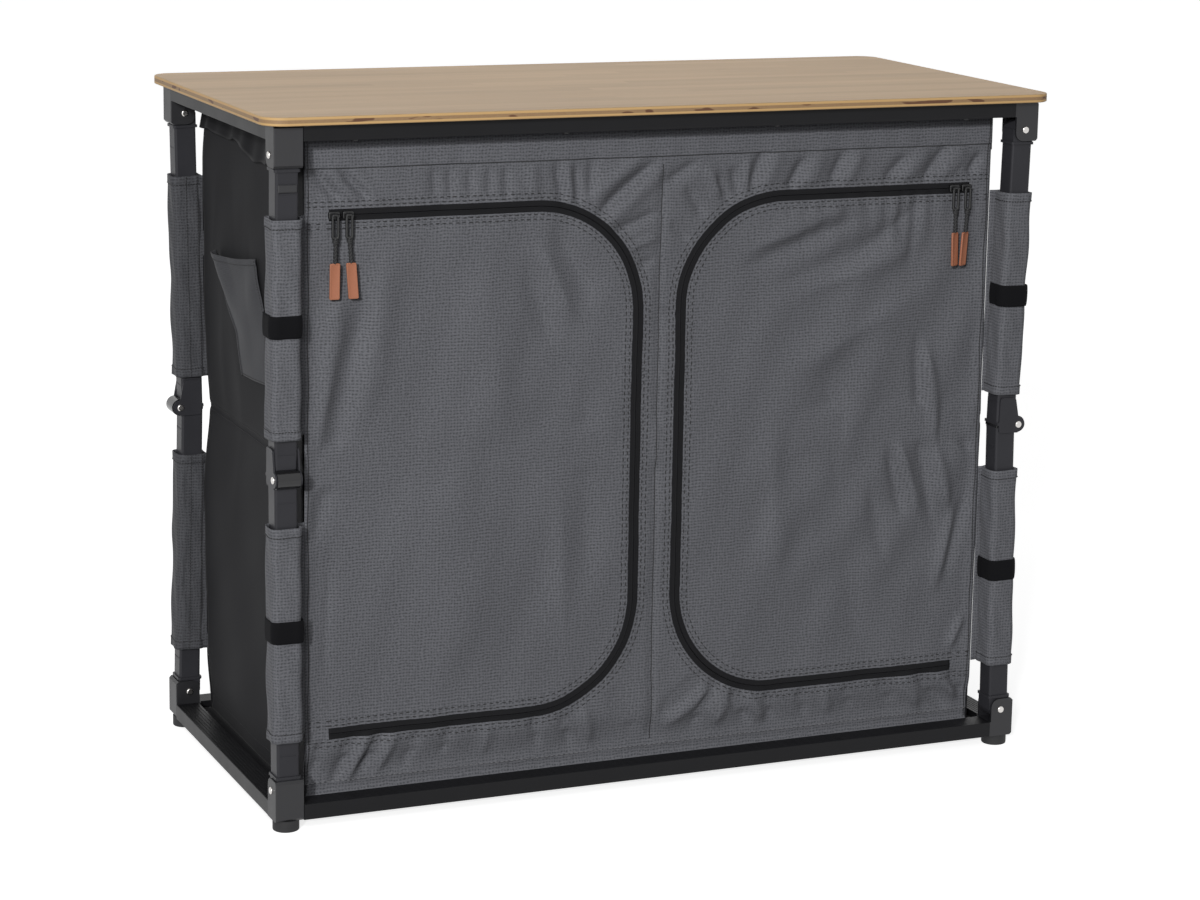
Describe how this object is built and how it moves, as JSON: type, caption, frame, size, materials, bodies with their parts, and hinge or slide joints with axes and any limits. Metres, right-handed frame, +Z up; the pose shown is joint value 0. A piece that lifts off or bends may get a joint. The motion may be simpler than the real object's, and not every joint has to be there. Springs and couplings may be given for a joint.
{
  "type": "camping cupboard",
  "caption": "Folding camping cupboard with a bamboo top, four folding legs, and a zipped fabric box with a shelf.",
  "frame": {"origin": "on the floor, at the middle of the four feet", "axes": "+Z up, +X the cupboard's width to the right, +Y its depth, with the doors at -Y"},
  "size_m": [0.964, 0.466, 0.8],
  "materials": {
    "bamboo": "clear lacquered bamboo plywood, satin",
    "black_aluminium": "black coated extrusion, satin",
    "black_moulding": "black moulded plastic, fine grain",
    "black_knuckle": "black, glossy",
    "steel_rivet": "bright steel",
    "foot_rubber": "black rubber",
    "grey_ripstop": "grey ripstop polyester",
    "dark_cloth": "dark coated polyester",
    "board": "hardboard",
    "black_zip_metal": "black enamelled zip metal",
    "tag_brown": "copper brown, satin"
  },
  "bodies": {
    "base": {"base_rail_front": "black_aluminium", "base_rail_back": "black_aluminium", "base_rail_left": "black_aluminium", "base_rail_right": "black_aluminium", "base_corners": "black_moulding", "feet": "foot_rubber", "base_pivot_rivets": "steel_rivet", "fabric_floor": "dark_cloth", "floor_board": "board", "front_surround": "grey_ripstop", "back_panel": "dark_cloth", "side_left": "dark_cloth", "side_right": "dark_cloth"},
    "top": {"tabletop": "bamboo", "top_rail_front": "black_aluminium", "top_rail_back": "black_aluminium", "top_rail_left": "black_aluminium", "top_rail_right": "black_aluminium", "top_corners": "black_moulding", "top_pivot_rivets": "steel_rivet", "tabletop_screws": "steel_rivet"},
    "shelf": {"shelf": "board"},
    "door_left": {"door_left": "grey_ripstop"},
    "door_right": {"door_right": "grey_ripstop"},
    "leg_fl_lower": {"leg_fl_lower_tube": "black_aluminium", "leg_fl_knee_knuckle": "black_knuckle", "sleeve_fl_lower": "grey_ripstop"},
    "leg_fl_upper": {"leg_fl_upper_tube": "black_aluminium", "leg_fl_knee_bracket": "black_aluminium", "sleeve_fl_upper": "grey_ripstop"},
    "leg_fr_lower": {"leg_fr_lower_tube": "black_aluminium", "leg_fr_knee_knuckle": "black_knuckle", "sleeve_fr_lower": "grey_ripstop"},
    "leg_fr_upper": {"leg_fr_upper_tube": "black_aluminium", "leg_fr_knee_bracket": "black_aluminium", "sleeve_fr_upper": "grey_ripstop"},
    "leg_br_lower": {"leg_br_lower_tube": "black_aluminium", "leg_br_knee_knuckle": "black_knuckle", "sleeve_br_lower": "grey_ripstop"},
    "leg_br_upper": {"leg_br_upper_tube": "black_aluminium", "leg_br_knee_bracket": "black_aluminium", "sleeve_br_upper": "grey_ripstop"},
    "leg_bl_lower": {"leg_bl_lower_tube": "black_aluminium", "leg_bl_knee_knuckle": "black_knuckle", "sleeve_bl_lower": "grey_ripstop"},
    "leg_bl_upper": {"leg_bl_upper_tube": "black_aluminium", "leg_bl_knee_bracket": "black_aluminium", "sleeve_bl_upper": "grey_ripstop"},
    "zip_left_outer": {"zip_slider_left_outer": "black_zip_metal"},
    "pull_left_outer": {"zip_pull_left_outer": "black_zip_metal", "zip_tag_left_outer": "tag_brown"},
    "zip_left_inner": {"zip_slider_left_inner": "black_zip_metal"},
    "pull_left_inner": {"zip_pull_left_inner": "black_zip_metal", "zip_tag_left_inner": "tag_brown"},
    "zip_right_outer": {"zip_slider_right_outer": "black_zip_metal"},
    "pull_right_outer": {"zip_pull_right_outer": "black_zip_metal", "zip_tag_right_outer": "tag_brown"},
    "zip_right_inner": {"zip_slider_right_inner": "black_zip_metal"},
    "pull_right_inner": {"zip_pull_right_inner": "black_zip_metal", "zip_tag_right_inner": "tag_brown"}
  },
  "joints": [
    {"name": "fold", "type": "hinge", "parent": "base", "child": "leg_fl_lower", "pos_m": [-0.4525, -0.203, 0.0462], "axis": [-1, 0, 0], "range_deg": [0, 83.5], "deforming": ["front_surround", "back_panel", "side_left", "side_right", "door_left", "door_right", "sleeve_fl_lower", "sleeve_fl_upper", "sleeve_fr_lower", "sleeve_fr_upper", "sleeve_br_lower", "sleeve_br_upper", "sleeve_bl_lower", "sleeve_bl_upper"]},
    {"name": "fl_knee", "type": "hinge", "parent": "leg_fl_lower", "child": "leg_fl_upper", "pos_m": [-0.4525, -0.211, 0.4015], "axis": [1, 0, 0], "range_deg": [0, 167.5]},
    {"name": "fr_fold", "type": "hinge", "parent": "base", "child": "leg_fr_lower", "pos_m": [0.452, -0.2035, 0.0462], "axis": [0, -1, 0], "range_deg": [0, 84]},
    {"name": "fr_knee", "type": "hinge", "parent": "leg_fr_lower", "child": "leg_fr_upper", "pos_m": [0.46, -0.2035, 0.4015], "axis": [0, 1, 0], "range_deg": [0, 167.5]},
    {"name": "br_fold", "type": "hinge", "parent": "base", "child": "leg_br_lower", "pos_m": [0.4525, 0.203, 0.0462], "axis": [1, 0, 0], "range_deg": [0, 84]},
    {"name": "br_knee", "type": "hinge", "parent": "leg_br_lower", "child": "leg_br_upper", "pos_m": [0.4525, 0.211, 0.4015], "axis": [-1, 0, 0], "range_deg": [0, 167.5]},
    {"name": "bl_fold", "type": "hinge", "parent": "base", "child": "leg_bl_lower", "pos_m": [-0.452, 0.2035, 0.0462], "axis": [0, 1, 0], "range_deg": [0, 84]},
    {"name": "bl_knee", "type": "hinge", "parent": "leg_bl_lower", "child": "leg_bl_upper", "pos_m": [-0.46, 0.2035, 0.4015], "axis": [0, -1, 0], "range_deg": [0, 167.5]},
    {"name": "top_pivot", "type": "hinge", "parent": "leg_fl_upper", "child": "top", "pos_m": [-0.4525, -0.203, 0.7568], "axis": [-1, 0, 0], "range_deg": [0, 84]},
    {"name": "shelf_drop", "type": "slide", "parent": "base", "child": "shelf", "axis": [0, 0, -1], "range_m": [0, 0.375]},
    {"name": "door_left_swing", "type": "hinge", "parent": "base", "child": "door_left", "pos_m": [-0.397, -0.187, 0.4], "axis": [0, 0, -1], "range_deg": [0, 110]},
    {"name": "zip_left_drop", "type": "slide", "parent": "base", "child": "zip_left_outer", "axis": [0, 0.1775, -0.9841], "range_m": [0, 0.57]},
    {"name": "pull_left_outer_swing", "type": "hinge", "parent": "zip_left_outer", "child": "pull_left_outer", "pos_m": [-0.392, -0.1951, 0.6865], "axis": [-1, 0, 0], "range_deg": [0, 90]},
    {"name": "zip_left_run", "type": "slide", "parent": "zip_left_outer", "child": "zip_left_inner", "axis": [1, 0, 0], "range_m": [0, 0.22]},
    {"name": "pull_left_inner_swing", "type": "hinge", "parent": "zip_left_inner", "child": "pull_left_inner", "pos_m": [-0.376, -0.1951, 0.6865], "axis": [-1, 0, 0], "range_deg": [0, 90]},
    {"name": "door_right_swing", "type": "hinge", "parent": "base", "child": "door_right", "pos_m": [0.397, -0.187, 0.4], "axis": [0, 0, 1], "range_deg": [0, 110]},
    {"name": "zip_right_drop", "type": "slide", "parent": "base", "child": "zip_right_outer", "axis": [0, 0.1775, -0.9841], "range_m": [0, 0.57]},
    {"name": "pull_right_outer_swing", "type": "hinge", "parent": "zip_right_outer", "child": "pull_right_outer", "pos_m": [0.392, -0.1951, 0.6865], "axis": [-1, 0, 0], "range_deg": [0, 90]},
    {"name": "zip_right_run", "type": "slide", "parent": "zip_right_outer", "child": "zip_right_inner", "axis": [-1, 0, 0], "range_m": [0, 0.22]},
    {"name": "pull_right_inner_swing", "type": "hinge", "parent": "zip_right_inner", "child": "pull_right_inner", "pos_m": [0.376, -0.1951, 0.6865], "axis": [-1, 0, 0], "range_deg": [0, 90]}
  ],
  "couplings": [
    {"joint": "fl_knee", "follows": "fold", "ratio": 2},
    {"joint": "fr_knee", "follows": "fold", "ratio": 2},
    {"joint": "fr_fold", "follows": "fold", "ratio": 1},
    {"joint": "br_knee", "follows": "fold", "ratio": 2},
    {"joint": "br_fold", "follows": "fold", "ratio": 1},
    {"joint": "bl_knee", "follows": "fold", "ratio": 2},
    {"joint": "bl_fold", "follows": "fold", "ratio": 1},
    {"joint": "top_pivot", "follows": "fold", "ratio": 1},
    {"joint": "shelf_drop", "follows": "fold", "m_per_rad": 0.2539},
    {"joint": "zip_left_drop", "follows": "fold", "m_per_rad": 0.38644},
    {"joint": "zip_right_drop", "follows": "fold", "m_per_rad": 0.38644}
  ]
}
